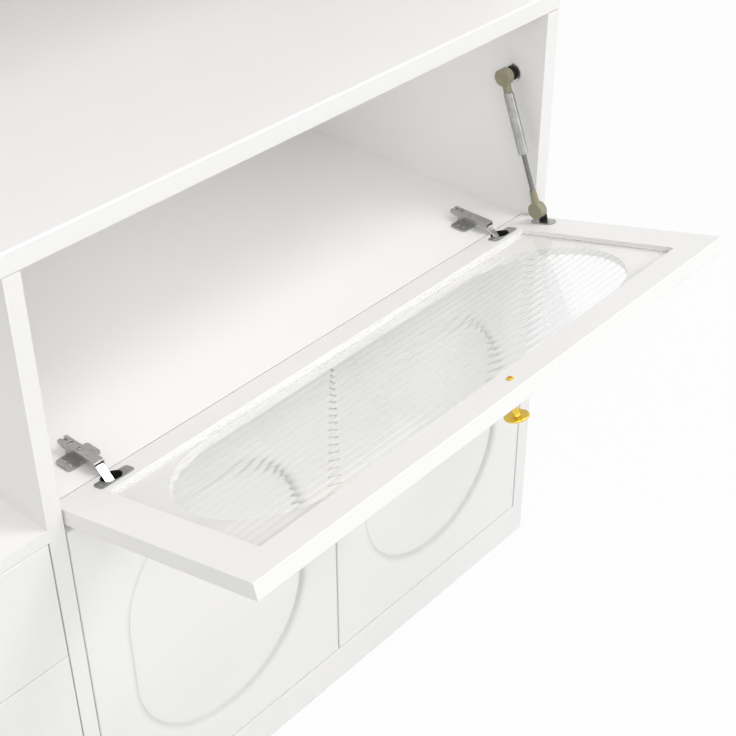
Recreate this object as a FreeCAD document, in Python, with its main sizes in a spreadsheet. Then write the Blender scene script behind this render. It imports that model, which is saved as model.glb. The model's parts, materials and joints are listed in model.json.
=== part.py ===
import FreeCAD, Part
import math
import operator
import os

import Sketcher

# A tall kitchen cabinet: a base with a drop-down glazed flap, a pair of doors and a column of
# drawers, a countertop, and a hutch with two doors above it.
# Frame: millimetres, +Z up, front towards -Y. The origin is on the floor, at the middle of the
# cabinet's width, in the plane of its back.

doc = FreeCAD.newDocument("tall_kitchen_cabinet")

# Driving dimensions, in millimetres and degrees
DIMENSIONS = {
    # Carcass
    "bay_width": 800,
    "column_width": 334,
    "panel_thick": 23,
    "divider_thick": 20,
    "depth": 500,
    "back_thick": 8,
    "counter_height": 884,
    "counter_thick": 25,
    "counter_round": 2.5,
    "floor_height": 570,
    "floor_thick": 24,
    "floor_setback": 23.6,
    "floor_lip": 1.7,
    "floor_lip_height": 6,
    "niche_floor_thick": 16,
    "plinth_height": 58,
    "plinth_thick": 28,
    "bottom_thick": 20,
    "shelf_thick": 18,
    "shelf_setback": 60,
    "cupboard_shelf_height": 300,
    # Hutch
    "hutch_depth": 420,
    "niche_height": 430,
    "hutch_height": 540,
    "hutch_shelf_height": 270,
    "wall_rail_height": 80,
    "wall_rail_thick": 18,
    "wall_hole_radius": 3,
    "wall_hole_spacing": 600,
    # Fronts
    "front_thick": 20,
    "front_gap": 2.5,
    "side_gap": 2.2,
    "plinth_gap": 1.2,
    "drawer_gap": 1.4,
    "front_clear": 3,
    "edge_round": 1.5,
    "recess_margin": 56.9,
    "recess_depth": 6,
    "recess_slope": 5.4,
    "recess_round_share": 0.96,
    # Flap
    "flap_drop": 22.3,
    "flap_top_gap": 2.3,
    "flap_open_angle": 74.9,
    "flap_edge_round": 1,
    "rebate_depth": 10,
    "rebate_end_margin": 45,
    "rebate_side_margin": 38.5,
    "window_end_margin": 62,
    "window_side_margin": 46.5,
    "glass_thick": 5,
    "glass_play": 0.5,
    "flute_count": 20,
    "flute_rise": 0.1,
    # Knobs
    "knob_inset": 20,
    "door_knob_inset": 25,
    "door_knob_rise": 8,
    "knob_radius": 14.2,
    "knob_height": 27,
    "knob_foot_radius": 5,
    "knob_neck_radius": 3.4,
    "knob_disc_thick": 3.6,
    "screw_radius": 2,
    "screw_play": 0.1,
    "screw_bite": 10,
    "screw_head_radius": 4.3,
    "screw_head_height": 2,
    "screw_slot": 1,
    # Concealed hinges
    "hinge_inset": 69,
    "door_hinge_inset": 80,
    "cup_wall": 0.8,
    "cup_depth": 14,
    "cup_play": 0.05,
    "flap_cup_radius": 13,
    "flap_cup_place": 17,
    "door_cup_radius": 17.5,
    "door_cup_place": 21,
    "flange_length": 45,
    "flange_width": 17,
    "flange_thick": 1.2,
    "flange_offset": 4.7,
    "hinge_pin_radius": 1.5,
    "hinge_pin_play": 0.06,
    "link_eye": 2.4,
    "link_thick": 1.5,
    "link_width": 9.6,
    "link_side_play": 0.3,
    "arm_wall": 1.1,
    "arm_nose": 3.3,
    "arm_height": 7,
    "plate_thick": 2.5,
    "plate_front": 27.5,
    "plate_length": 24.2,
    "plate_width": 44.4,
    "plate_round": 4,
    "flap_cup_pin_along": 13,
    "flap_cup_pin_deep": 9,
    "flap_arm_pin_along": 33.4,
    "flap_arm_pin_back": 5.6,
    "flap_link_turn": 14.5,
    "flap_arm_rise": 15.6,
    "flap_arm_back": 65,
    "door_cup_pin_along": 12,
    "door_cup_pin_deep": 10,
    "door_arm_pin_along": 33.4,
    "door_arm_pin_back": 5.4,
    "door_arm_back": 76,
    "door_arm_rise": 16,
    # Flap strut
    "strut_stud_back": 47,
    "strut_stud_drop": 90,
    "strut_offset": 20,
    "strut_ball_along": 46,
    "strut_ball_rise": 17.5,
    "ball_radius": 4.5,
    "ball_play": 0.1,
    "ball_stem_radius": 3,
    "stud_base_radius": 12.5,
    "stud_base_thick": 3,
    "socket_radius": 11,
    "socket_half_width": 6,
    "tube_neck_radius": 5.5,
    "tube_neck_length": 21,
    "rod_neck_radius": 4.2,
    "rod_neck_length": 28,
    "tube_radius": 6.7,
    "tube_bore_radius": 5.9,
    "tube_share": 0.454,
    "tube_end_wall": 20,
    "rod_radius": 3.1,
    "rod_share": 0.385,
    "bracket_width": 16,
    "bracket_start": 33,
    "bracket_end": 70,
    "bracket_thick": 2,
    # Drawers
    "drawer_count": 3,
    "drawer_side_space": 13,
    "drawer_wall": 15,
    "drawer_floor": 10,
    "drawer_box_height": 110,
    "drawer_box_depth": 400,
    "drawer_box_lift": 22,
    "rail_height": 14,
    "rail_grip": 6,
    "rail_play": 0.4,
    "rail_lift": 45,
}

sheet = doc.addObject("Spreadsheet::Sheet", "Sizes")
for row, (alias, number) in enumerate(DIMENSIONS.items(), start=1):
    sheet.set(f"A{row}", alias)
    sheet.set(f"B{row}", str(number))
    sheet.setAlias(f"B{row}", alias)
doc.recompute()


class Size:
    """A number together with the sheet expression that gives it."""

    def __init__(self, value, text):
        self.value = value
        self.text = text

    def __add__(self, other):
        return combine(operator.add, "+", self, other)

    def __radd__(self, other):
        return combine(operator.add, "+", other, self)

    def __sub__(self, other):
        return combine(operator.sub, "-", self, other)

    def __rsub__(self, other):
        return combine(operator.sub, "-", other, self)

    def __mul__(self, other):
        return combine(operator.mul, "*", self, other)

    def __rmul__(self, other):
        return combine(operator.mul, "*", other, self)

    def __truediv__(self, other):
        return combine(operator.truediv, "/", self, other)

    def __neg__(self):
        return combine(operator.sub, "-", 0, self)


def as_size(number):
    return number if isinstance(number, Size) else Size(float(number), repr(float(number)))


def combine(operation, sign, left, right):
    left, right = as_size(left), as_size(right)
    return Size(operation(left.value, right.value), f"({left.text} {sign} {right.text})")


def square_root(size):
    return Size(math.sqrt(size.value), f"sqrt({size.text})")


def get(alias):
    return Size(float(sheet.get(alias)), f"Sizes.{alias}")


# Places worked out from the driving dimensions
panel = get("panel_thick")
depth = get("depth")
divider = get("divider_thick")
half_width = (get("bay_width") + get("column_width") + divider) / 2 + panel
bay_left = half_width - panel - get("bay_width")
bay_right = half_width - panel
column_left = panel - half_width
column_right = bay_left - divider
bay_middle = (bay_left + bay_right) / 2
column_middle = (column_left + column_right) / 2
front = -depth
back = -get("back_thick")
counter_top = get("counter_height")
counter_under = counter_top - get("counter_thick")
floor_top = get("floor_height")
floor_under = floor_top - get("floor_thick")
plinth_top = get("plinth_height")
fronts_low = plinth_top + get("plinth_gap")
fronts_high = floor_under - get("front_gap")
inner_face = front + get("front_thick")
behind_fronts = inner_face + get("front_clear")
hutch_front = -get("hutch_depth")
hutch_floor_under = counter_top + get("niche_height")
hutch_floor_top = hutch_floor_under + panel
hutch_roof = hutch_floor_top + get("hutch_height")
total_height = hutch_roof + panel
hutch_inner_face = hutch_front + get("front_thick")
flap_bottom = floor_top - get("flap_drop")
flap_top = counter_under - get("flap_top_gap")
flap_left = bay_left + get("side_gap")
flap_right = bay_right - get("side_gap")

nodes = {}
X_AXIS = FreeCAD.Vector(1, 0, 0)
Y_AXIS = FreeCAD.Vector(0, 1, 0)
NO_TURN = FreeCAD.Rotation()


# Modelling helpers
def new_body(label):
    body = doc.addObject("PartDesign::Body", label)
    body.Label = label
    return body


def sketch_on(body, plane, level):
    """A sketch on one of the body's own planes, at a level along +Z (XY), +Y (XZ) or +X (YZ)."""
    sketch = body.newObject("Sketcher::SketchObject", body.Label + "_sketch")
    support = [feature for feature in body.Origin.OriginFeatures if feature.Role == plane + "_Plane"]
    sketch.AttachmentSupport = [(support[0], "")]
    sketch.MapMode = "FlatFace"
    offset = -as_size(level) if plane == "XZ" else as_size(level)
    sketch.AttachmentOffset = FreeCAD.Placement(FreeCAD.Vector(0, 0, offset.value), NO_TURN)
    sketch.setExpression("AttachmentOffset.Base.z", offset.text)
    return sketch


def fix(sketch, axis, geometry, point, size):
    """Pins one coordinate of a sketch point to a size."""
    size = as_size(size)
    index = sketch.addConstraint(Sketcher.Constraint(axis, -1, 1, geometry, point, size.value))
    sketch.setExpression(f"Constraints[{index}]", size.text)


def draw_loop(sketch, steps):
    """A closed outline. Each step is (x, y) for a line to that point or (x, y, centre x, centre y,
    turn) for an arc to it, where turn is 1 counter-clockwise and -1 clockwise."""
    steps = [[as_size(number) for number in step[:4]] + list(step[4:]) for step in steps]
    made = []
    for before, step in zip([steps[-1]] + steps[:-1], steps):
        start = FreeCAD.Vector(before[0].value, before[1].value, 0)
        end = FreeCAD.Vector(step[0].value, step[1].value, 0)
        if len(step) == 2:
            made.append((sketch.addGeometry(Part.LineSegment(start, end)), 1, 2))
            continue
        centre = FreeCAD.Vector(step[2].value, step[3].value, 0)
        counter_clockwise = step[4] > 0
        first, last = (start, end) if counter_clockwise else (end, start)
        angles = [math.atan2(p.y - centre.y, p.x - centre.x) for p in (first, last)]
        if angles[1] <= angles[0]:
            angles[1] += 2 * math.pi
        circle = Part.Circle(centre, FreeCAD.Vector(0, 0, 1), (end - centre).Length)
        arc = sketch.addGeometry(Part.ArcOfCircle(circle, angles[0], angles[1]))
        made.append((arc, 1, 2) if counter_clockwise else (arc, 2, 1))
    for (line, _, end_point), (following, start_point, _) in zip(made, made[1:] + made[:1]):
        sketch.addConstraint(Sketcher.Constraint("Coincident", line, end_point, following, start_point))
    for (line, _, end_point), step, before in zip(made, steps, [steps[-1]] + steps[:-1]):
        fix(sketch, "DistanceX", line, end_point, step[0])
        fix(sketch, "DistanceY", line, end_point, step[1])
        if len(step) > 2:
            upright = abs(step[1].value - before[1].value) > abs(step[0].value - before[0].value)
            fix(sketch, "DistanceX" if upright else "DistanceY", line, 3, step[2] if upright else step[3])


def rectangle(x_low, x_high, y_low, y_high):
    return [(x_low, y_low), (x_high, y_low), (x_high, y_high), (x_low, y_high)]


def stadium(x_low, x_high, y_low, y_high, lying):
    """An outline with two straight sides and two half-round ends."""
    if lying:
        radius = (y_high - y_low) / 2
        middle = (y_low + y_high) / 2
        west, east = x_low + radius, x_high - radius
        return [(west, y_low, west, middle, 1), (east, y_low), (east, y_high, east, middle, 1), (west, y_high)]
    radius = (x_high - x_low) / 2
    middle = (x_low + x_high) / 2
    south, north = y_low + radius, y_high - radius
    return [
        (x_low, south), (x_high, south, middle, south, 1), (x_high, north), (x_low, north, middle, north, 1),
    ]


def disc(x, y, radius):
    """A full circle, as two half circles."""
    return [(x + radius, y, x, y, 1), (x - radius, y, x, y, 1)]


def pad(body, plane, outline, low, high):
    low, high = as_size(low), as_size(high)
    sketch = sketch_on(body, plane, high if plane == "XZ" else low)
    draw_loop(sketch, outline)
    feature = body.newObject("PartDesign::Pad", body.Label + "_pad")
    feature.Profile = sketch
    feature.Length = (high - low).value
    feature.setExpression("Length", (high - low).text)
    return feature


def pocket(body, plane, outline, low, high):
    low, high = as_size(low), as_size(high)
    sketch = sketch_on(body, plane, low if plane == "XZ" else high)
    draw_loop(sketch, outline)
    feature = body.newObject("PartDesign::Pocket", body.Label + "_pocket")
    feature.Profile = sketch
    feature.Length = (high - low).value
    feature.setExpression("Length", (high - low).text)
    return feature


def revolve(body, outline):
    """Turns an outline of (radius, height) points about the body's own Z axis."""
    sketch = sketch_on(body, "XZ", 0)
    draw_loop(sketch, outline)
    feature = body.newObject("PartDesign::Revolution", body.Label + "_turned")
    feature.Profile = sketch
    feature.ReferenceAxis = (sketch, ["V_Axis"])
    feature.Angle = 360
    return feature


def round_edges(body, radius, chosen):
    """Fillets the edges of the body whose middle point the chosen test accepts."""
    doc.recompute()
    base = body.Tip
    names = []
    for number, edge in enumerate(base.Shape.Edges, start=1):
        if chosen(edge, edge.valueAt((edge.FirstParameter + edge.LastParameter) / 2)):
            names.append(f"Edge{number}")
    feature = body.newObject("PartDesign::Fillet", body.Label + "_round")
    feature.Base = (base, names)
    feature.Radius = radius.value
    feature.setExpression("Radius", radius.text)
    return feature


def near(number, size):
    return abs(number - as_size(size).value) < 0.01


def keep(label, piece):
    nodes[label] = piece
    return piece


def panel_piece(label, x_low, x_high, y_low, y_high, z_low, z_high):
    body = new_body(label)
    pad(body, "XY", rectangle(x_low, x_high, y_low, y_high), z_low, z_high)
    return keep(label, body)


def group(label, bodies):
    """One node of several separate solids."""
    compound = doc.addObject("Part::Compound", label)
    compound.Label = label
    compound.Links = bodies
    return keep(label, compound)


# Base carcass
def make_base():
    panel_piece("left_side_panel", -half_width, column_left, front, back, 0, counter_under)
    panel_piece("divider_panel", column_right, bay_left, front, back, 0, counter_under)
    panel_piece("right_side_panel", bay_right, half_width, front, back, 0, counter_under)
    panel_piece("niche_floor", column_left, column_right, front, back,
                floor_under, floor_under + get("niche_floor_thick"))
    bay_floor = new_body("bay_floor")
    pad(bay_floor, "YZ", floor_section(), bay_left, bay_right)
    keep("bay_floor", bay_floor)
    shelf_low = get("cupboard_shelf_height")
    panel_piece("cupboard_shelf", bay_left, bay_right, inner_face + get("shelf_setback"), back,
                shelf_low, shelf_low + get("shelf_thick"))
    bottoms, plinths = [], []
    for name, low, high in (("bay", bay_left, bay_right), ("column", column_left, column_right)):
        bottom = new_body(name + "_bottom")
        pad(bottom, "XY", rectangle(low, high, behind_fronts, back), plinth_top,
            plinth_top + get("bottom_thick"))
        bottoms.append(bottom)
        plinth = new_body(name + "_plinth")
        pad(plinth, "XY", rectangle(low, high, front, front + get("plinth_thick")), 0, plinth_top)
        plinths.append(plinth)
    group("bottom_panels", bottoms)
    group("plinth_boards", plinths)

    counter = panel_piece("countertop", -half_width, half_width, front, back, counter_under, counter_top)
    round_edges(counter, get("counter_round"),
                lambda edge, p: near(p.y, front) and edge.BoundBox.XLength > 1)

    whole_back = new_body("back_panel")
    pad(whole_back, "XZ", rectangle(-half_width, half_width, 0, total_height), back, 0)
    for x in wall_hole_places():
        pocket(whole_back, "XZ", disc(x, wall_hole_height(), get("wall_hole_radius")), back, 0)
    keep("back_panel", whole_back)


def floor_section():
    """The bay's floor cut from front to back: its front edge leans forward to a lip that closes the
    joint to the open flap and still lets the flap's edge swing past."""
    floor_front = front + get("floor_setback")
    lip, lip_height = get("floor_lip"), get("floor_lip_height")
    return [
        (floor_front - lip, floor_top), (floor_front - lip / 4, floor_top - lip_height),
        (floor_front, floor_top - lip_height * 1.7), (floor_front, floor_under), (back, floor_under),
        (back, floor_top),
    ]


def wall_hole_places():
    return [get("wall_hole_spacing") * -0.5, get("wall_hole_spacing") * 0.5]


def wall_hole_height():
    return hutch_roof - get("wall_rail_height") / 2


# Hutch
def make_hutch():
    panel_piece("hutch_left_side", -half_width, column_left, hutch_front, back, counter_top, hutch_roof)
    panel_piece("hutch_right_side", bay_right, half_width, hutch_front, back, counter_top, hutch_roof)
    panel_piece("hutch_floor", column_left, bay_right, hutch_front, back, hutch_floor_under, hutch_floor_top)
    panel_piece("hutch_divider", column_right, bay_left, hutch_front, back, hutch_floor_top, hutch_roof)
    panel_piece("hutch_top", -half_width, half_width, hutch_front, back, hutch_roof, total_height)
    rail_front = back - get("wall_rail_thick")
    shelf_low = hutch_floor_top + get("hutch_shelf_height")
    shelf_high = shelf_low + get("shelf_thick")
    shelves = []
    for name, low, high, shelf_front in (
        ("hutch_shelf", bay_left, bay_right, hutch_inner_face + get("shelf_setback")),
        ("column_shelf", column_left, column_right, hutch_front),
    ):
        shelf = new_body(name)
        pad(shelf, "XY", rectangle(low, high, shelf_front, back), shelf_low, shelf_high)
        shelves.append(shelf)
    group("hutch_shelves", shelves)
    rails = []
    for name, low, high, hole in (
        ("column_wall_rail", column_left, column_right, wall_hole_places()[0]),
        ("bay_wall_rail", bay_left, bay_right, wall_hole_places()[1]),
    ):
        rail = new_body(name)
        rail_low = hutch_roof - get("wall_rail_height")
        pad(rail, "XZ", rectangle(low, high, rail_low, hutch_roof), rail_front, back)
        pocket(rail, "XZ", disc(hole, wall_hole_height(), get("wall_hole_radius")), rail_front, back)
        rails.append(rail)
    group("wall_rails", rails)


# Knobs and their screws
def make_knob(label, place, bored=False):
    """A disc knob on a slim stem, turned about its own Z axis, bored where its screw is modelled."""
    body = new_body(label)
    foot, neck, top = get("knob_foot_radius"), get("knob_neck_radius"), get("knob_radius")
    height, thick = get("knob_height"), get("knob_disc_thick")
    under = height - thick
    flare = foot - neck
    soft = thick / 4
    outline = [
        (foot, 0), (neck, flare * 3), (neck, under - flare), (foot, under), (top, under + soft),
        (top, height - soft), (top * 0.7, height), (0, height),
    ]
    if bored:
        hole = get("screw_radius") + get("screw_play")
        bite = get("screw_bite") + get("screw_play")
        outline += [(0, bite), (hole, bite), (hole, 0)]
    else:
        outline.append((0, 0))
    revolve(body, outline)
    body.Placement = place
    return keep(label, body)


def knob_place(x, y, z):
    """A knob's place on an upright front, pointing to -Y."""
    turn = FreeCAD.Rotation(X_AXIS, 90)
    return FreeCAD.Placement(FreeCAD.Vector(as_size(x).value, as_size(y).value, as_size(z).value), turn)


def make_flap_screw(label, place):
    """The screw that holds the flap's knob: a bevelled head with a cross recess, and a plain shank."""
    body = new_body(label)
    head, shank = get("screw_head_radius"), get("screw_radius")
    face = -get("front_thick")
    head_low = face - get("screw_head_height")
    outline = [
        (0, head_low), (head * 0.6, head_low), (head, face - get("screw_head_height") / 3), (head, face),
        (shank, face), (shank, get("screw_bite")), (0, get("screw_bite")),
    ]
    revolve(body, outline)
    long, narrow = head * 0.55, get("screw_slot") / 2
    recess = head_low + get("screw_slot")
    for half_x, half_y in ((long, narrow), (narrow, long)):
        pocket(body, "XY", rectangle(-half_x, half_x, -half_y, half_y), head_low, recess)
    body.Placement = place
    return keep(label, body)


# Concealed hinges. A hinge is built in its own frame: X runs along the front from its hinge
# edge, Y runs from the front's inner face into the cabinet, Z is along the hinge axis.
def make_cup(name, kind, place):
    body = new_body(name)
    radius, centre = get(kind + "_cup_radius") - get("cup_play"), get(kind + "_cup_place")
    inner = radius - get("cup_wall")
    floor = -get("cup_depth") + get("cup_play")
    flange_middle = centre + get("flange_offset")
    half_long, half_wide = get("flange_length") / 2, get("flange_width") / 2
    pad(body, "XZ", disc(centre, 0, radius), floor, 0)
    pad(body, "XZ", rectangle(flange_middle - half_wide, flange_middle + half_wide, -half_long, half_long),
        0, get("flange_thick"))
    round_edges(body, get("plate_round"), lambda edge, p: near(edge.BoundBox.YLength, get("flange_thick")))
    pocket(body, "XZ", disc(centre, 0, inner), floor + get("cup_wall"), get("flange_thick"))
    if kind == "flap":
        slot = get("link_width") / 2 + get("link_side_play") * 2
        slot_end = flange_middle + half_wide - get("cup_wall")
        pocket(body, "XZ", rectangle(centre, slot_end, -slot, slot), 0, get("flange_thick"))
    along, deep = get(kind + "_cup_pin_along"), get(kind + "_cup_pin_deep")
    middle_of_wall = radius - get("cup_wall") / 2
    reach = square_root(middle_of_wall * middle_of_wall - (centre - along) * (centre - along))
    pad(body, "XY", disc(along, -deep, get("hinge_pin_radius")), -reach, reach)
    body.Placement = place
    return body


def make_link(name, kind, place):
    """A bent strap from the arm's pin to the cup's pin, with an eye at each end."""
    body = new_body(name)
    cup_x, cup_y = get(kind + "_cup_pin_along"), -get(kind + "_cup_pin_deep")
    arm_x, arm_y = get(kind + "_arm_pin_along"), get(kind + "_arm_pin_back")
    half_width_link = get("link_width") / 2
    bend_x, bend_y = link_bend(kind)
    half = get("link_thick") / 2
    pad(body, "XY", disc(cup_x, cup_y, get("link_eye")), -half_width_link, half_width_link)
    for (x0, y0), (x1, y1) in (((cup_x, cup_y), (bend_x, bend_y)), ((bend_x, bend_y), (arm_x, arm_y))):
        pad(body, "XY", strap(x0, y0, x1, y1, half), -half_width_link, half_width_link)
    pad(body, "XY", disc(bend_x, bend_y, half), -half_width_link, half_width_link)
    pad(body, "XY", disc(arm_x, arm_y, get("link_eye")), -half_width_link, half_width_link)
    hole = get("hinge_pin_radius") + get("hinge_pin_play")
    for x, y in ((cup_x, cup_y), (arm_x, arm_y)):
        pocket(body, "XY", disc(x, y, hole), -half_width_link, half_width_link)
    body.Placement = place
    return body


def link_bend(kind):
    """The bend lies on the cup side of the straight line between the two pins."""
    cup_x, cup_y = get(kind + "_cup_pin_along"), -get(kind + "_cup_pin_deep")
    arm_x, arm_y = get(kind + "_arm_pin_along"), get(kind + "_arm_pin_back")
    share, bow = (0.44, 0.20) if kind == "door" else (0.6, 0.01)
    run_x, run_y = arm_x - cup_x, arm_y - cup_y
    return cup_x + run_x * share + run_y * bow, cup_y + run_y * share - run_x * bow


def strap(x0, y0, x1, y1, half):
    """A straight band of the given half thickness between two points."""
    run_x, run_y = x1 - x0, y1 - y0
    length = math.hypot(run_x.value, run_y.value)
    off_x, off_y = run_y * half / length, -run_x * half / length
    return [
        (x0 + off_x, y0 + off_y), (x1 + off_x, y1 + off_y), (x1 - off_x, y1 - off_y), (x0 - off_x, y0 - off_y),
    ]


def make_plate(name, surface, place):
    """The mounting plate on a surface at X = surface: two wings and a block that carries the arm."""
    body = new_body(name)
    half = get("plate_width") / 2
    low, high = get("plate_front"), get("plate_front") + get("plate_length")
    pad(body, "YZ", rectangle(low, high, -half, half), surface, surface + get("plate_thick"))
    round_edges(body, get("plate_round"), lambda edge, p: near(edge.BoundBox.XLength, get("plate_thick")))
    half_block = arm_width() / 2
    block_top = surface + get("flap_arm_rise") - get("arm_height")
    pad(body, "YZ", rectangle(low, high, -half_block, half_block), surface, block_top)
    body.Placement = place
    return body


def arm_width():
    """The link's width with its play and a wall on both sides."""
    return get("link_width") + (get("link_side_play") + get("arm_wall")) * 2


def pin_across_arm(body, kind):
    half = arm_width() / 2
    pin = disc(get(kind + "_arm_pin_along"), get(kind + "_arm_pin_back"), get("hinge_pin_radius"))
    pad(body, "XY", pin, -half, half)


def make_flap_arm(name, surface, place):
    """A channel, open downwards and to the front, that carries the link's pin in its nose. It lies on
    the plate's block, has deeper cheeks at the nose and tapers to a fork at the back."""
    body = new_body(name)
    half, wall = arm_width() / 2, get("arm_wall")
    high = surface + get("flap_arm_rise")
    low = high - get("arm_height")
    nose, tail = get("flap_arm_pin_back") - get("arm_nose"), get("flap_arm_back")
    cheek = get("flap_arm_pin_along") - get("arm_nose")
    cheek_back = get("plate_front") * 0.5
    outline = [
        (cheek, nose + wall), (cheek + wall, nose), (high - wall, nose), (high, nose + wall),
        (high, tail - wall), (high - wall, tail), (high - get("arm_height") * 0.7, tail),
        (low, tail - get("plate_front") * 0.3), (low, cheek_back + wall), (cheek, cheek_back),
    ]
    pad(body, "XY", outline, -half, half)
    pocket(body, "YZ", rectangle(-tail, tail * 2, wall - half, half - wall), low - tail, high - wall)
    fork = tail - get("plate_front") * 0.35
    gap = wall * 1.5
    pocket(body, "YZ", rectangle(fork, tail * 2, -gap, gap), low, high + wall)
    slot_low = fork - get("plate_front") * 0.25
    pocket(body, "YZ", rectangle(slot_low, slot_low + wall * 2, -gap * 2, gap * 2), low, high + wall)
    pin_across_arm(body, "flap")
    body.Placement = place
    return body


def make_door_arm(name, surface, place):
    """A cranked arm and its plate for a door set between its panels."""
    body = new_body(name)
    half, wall = arm_width() / 2, get("arm_wall")
    plate_top, arm_top = surface + get("plate_thick"), surface + get("door_arm_rise")
    pin_x, nose = get("door_arm_pin_along"), get("door_arm_pin_back") - get("arm_nose")
    half_plate = get("plate_width") / 2
    low, high = get("plate_front") + get("plate_length") * 0.4, get("plate_front") + get("plate_length") * 1.4
    tail = get("door_arm_back")
    pad(body, "YZ", rectangle(low, high, -half_plate, half_plate), surface, plate_top)
    outline = [
        (pin_x - get("arm_nose"), nose), (pin_x + get("arm_nose"), nose),
        (pin_x + get("arm_nose"), nose + get("arm_nose") * 4), (arm_top, low), (arm_top, tail),
        (plate_top, tail), (plate_top, low - wall), (pin_x - get("arm_nose"), nose + get("arm_nose") * 3),
    ]
    pad(body, "XY", outline, -half, half)
    slot = half - wall
    pocket(body, "YZ", rectangle(-tail, nose + get("arm_nose") * 3, -slot, slot), -tail, tail)
    pin_across_arm(body, "door")
    body.Placement = place
    return body


# Where the hinges' own frames stand in the cabinet
def hinge_frame(x, y, z, turn):
    corner = FreeCAD.Vector(as_size(x).value, as_size(y).value, as_size(z).value)
    return FreeCAD.Placement(corner, FreeCAD.Rotation(Y_AXIS, turn))


FLAP_TURN = -90
LEFT_TURN = 0
RIGHT_TURN = 180


def flap_hinge_frames():
    inset = get("hinge_inset")
    return [hinge_frame(x, inner_face, flap_bottom, FLAP_TURN) for x in (bay_left + inset, bay_right - inset)]


def turn_about(point, axis, angle):
    """A turn about an axis through a point."""
    return FreeCAD.Placement(point, FreeCAD.Rotation(axis, angle)) * FreeCAD.Placement(-point, NO_TURN)


def flap_arm_pin():
    return FreeCAD.Vector(0, (inner_face + get("flap_arm_pin_back")).value,
                          (flap_bottom + get("flap_arm_pin_along")).value)


def flap_cup_pin():
    return FreeCAD.Vector(0, (inner_face - get("flap_cup_pin_deep")).value,
                          (flap_bottom + get("flap_cup_pin_along")).value)


def link_opened():
    """Takes the flap's links from the closed flap to the open one, where the part rests."""
    return turn_about(flap_arm_pin(), X_AXIS, -get("flap_link_turn").value)


def flap_opened():
    """Takes the flap and what it carries from closed to open."""
    pin = flap_cup_pin()
    moved = link_opened().multVec(pin)
    turn = FreeCAD.Rotation(X_AXIS, get("flap_open_angle").value)
    return FreeCAD.Placement(moved, turn) * FreeCAD.Placement(-pin, NO_TURN)


# Drop-down flap
def make_flap():
    opened = flap_opened()
    frame = new_body("flap_frame")
    pad(frame, "XZ", rectangle(flap_left, flap_right, flap_bottom, flap_top), front, inner_face)
    end, side = get("rebate_end_margin"), get("rebate_side_margin")
    rebate_left, rebate_right = flap_left + end, flap_right - end
    rebate_low, rebate_high = flap_bottom + side, flap_top - side
    seat = inner_face - get("rebate_depth")
    pocket(frame, "XZ", rectangle(rebate_left, rebate_right, rebate_low, rebate_high), seat, inner_face)
    end, side = get("window_end_margin"), get("window_side_margin")
    window = stadium(flap_left + end, flap_right - end, flap_bottom + side, flap_top - side, True)
    pocket(frame, "XZ", window, front, seat)
    knob_z = flap_top - get("knob_inset")
    pocket(frame, "XZ", disc(bay_middle, knob_z, get("screw_radius") + get("screw_play")), front, inner_face)
    for x in (bay_left + get("hinge_inset"), bay_right - get("hinge_inset")):
        cup = disc(x, flap_bottom + get("flap_cup_place"), get("flap_cup_radius"))
        pocket(frame, "XZ", cup, inner_face - get("cup_depth"), inner_face)
    nearly_full = get("bay_width").value * 0.9
    round_edges(frame, get("flap_edge_round"), lambda edge, p: edge.BoundBox.XLength > nearly_full
                and (near(p.z, flap_bottom) or near(p.z, flap_top)))
    frame.Placement = opened
    keep("flap_frame", frame)

    glass = new_body("flap_glass")
    play = get("glass_play")
    low, high = rebate_low + play, rebate_high - play
    pad(glass, "YZ", fluted_section(seat, low, high), rebate_left + play, rebate_right - play)
    glass.Placement = opened
    keep("flap_glass", glass)

    place = opened * knob_place(bay_middle, front, knob_z)
    make_knob("flap_knob", place, bored=True)
    make_flap_screw("flap_knob_screw", place)

    surface = get("flap_drop")
    cups, links, arms, plates = [], [], [], []
    for number, place in enumerate(flap_hinge_frames()):
        cups.append(make_cup(f"flap_cup_{number}", "flap", opened * place))
        links.append(make_link(f"flap_link_{number}", "flap", link_opened() * place))
        arms.append(make_flap_arm(f"flap_arm_{number}", surface, place))
        plates.append(make_plate(f"flap_plate_{number}", surface, place))
    group("flap_hinge_cups", cups)
    group("flap_hinge_links", links)
    group("flap_hinge_arms", arms)
    group("flap_hinge_plates", plates)


def fluted_section(seat, low, high):
    """The glass cut across its flutes: flat on the seat, a row of shallow arcs on the other side."""
    count = int(get("flute_count").value)
    pitch = (high - low) / get("flute_count")
    rise = get("flute_rise")
    valley = seat + get("glass_thick") - rise
    radius = (pitch * pitch / 4 + rise * rise) / (rise * 2)
    steps = [(seat, high), (seat, low), (valley, low)]
    for number in range(count):
        middle = low + pitch * (number + 0.5)
        steps.append((valley, low + pitch * (number + 1), valley + rise - radius, middle, 1))
    return steps


# Strut between the right side panel and the flap
def strut_points():
    """The upper ball, which is fixed, and the lower ball, which the open flap carries."""
    x = (bay_right - get("strut_offset")).value
    stud_y, stud_z = front + get("strut_stud_back"), counter_under - get("strut_stud_drop")
    upper = FreeCAD.Vector(x, stud_y.value, stud_z.value)
    closed = FreeCAD.Vector(x, (inner_face + get("strut_ball_rise")).value,
                            (flap_bottom + get("strut_ball_along")).value)
    return upper, flap_opened().multVec(closed)


def ball_stud(body, length, with_base):
    """A round pivot at the origin on a stem along the body's Z axis, with a round base at its end."""
    ball, stem = get("ball_radius"), get("ball_stem_radius")
    steps = [
        (0, -ball), (ball * 0.7, -ball), (ball, ball * -0.6), (ball, ball * 0.6), (stem, ball), (stem, length),
    ]
    if with_base:
        base, thick = get("stud_base_radius"), get("stud_base_thick")
        steps[-1:] = [(stem, length - thick), (base, length - thick), (base, length)]
    revolve(body, steps + [(0, length)])


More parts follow.
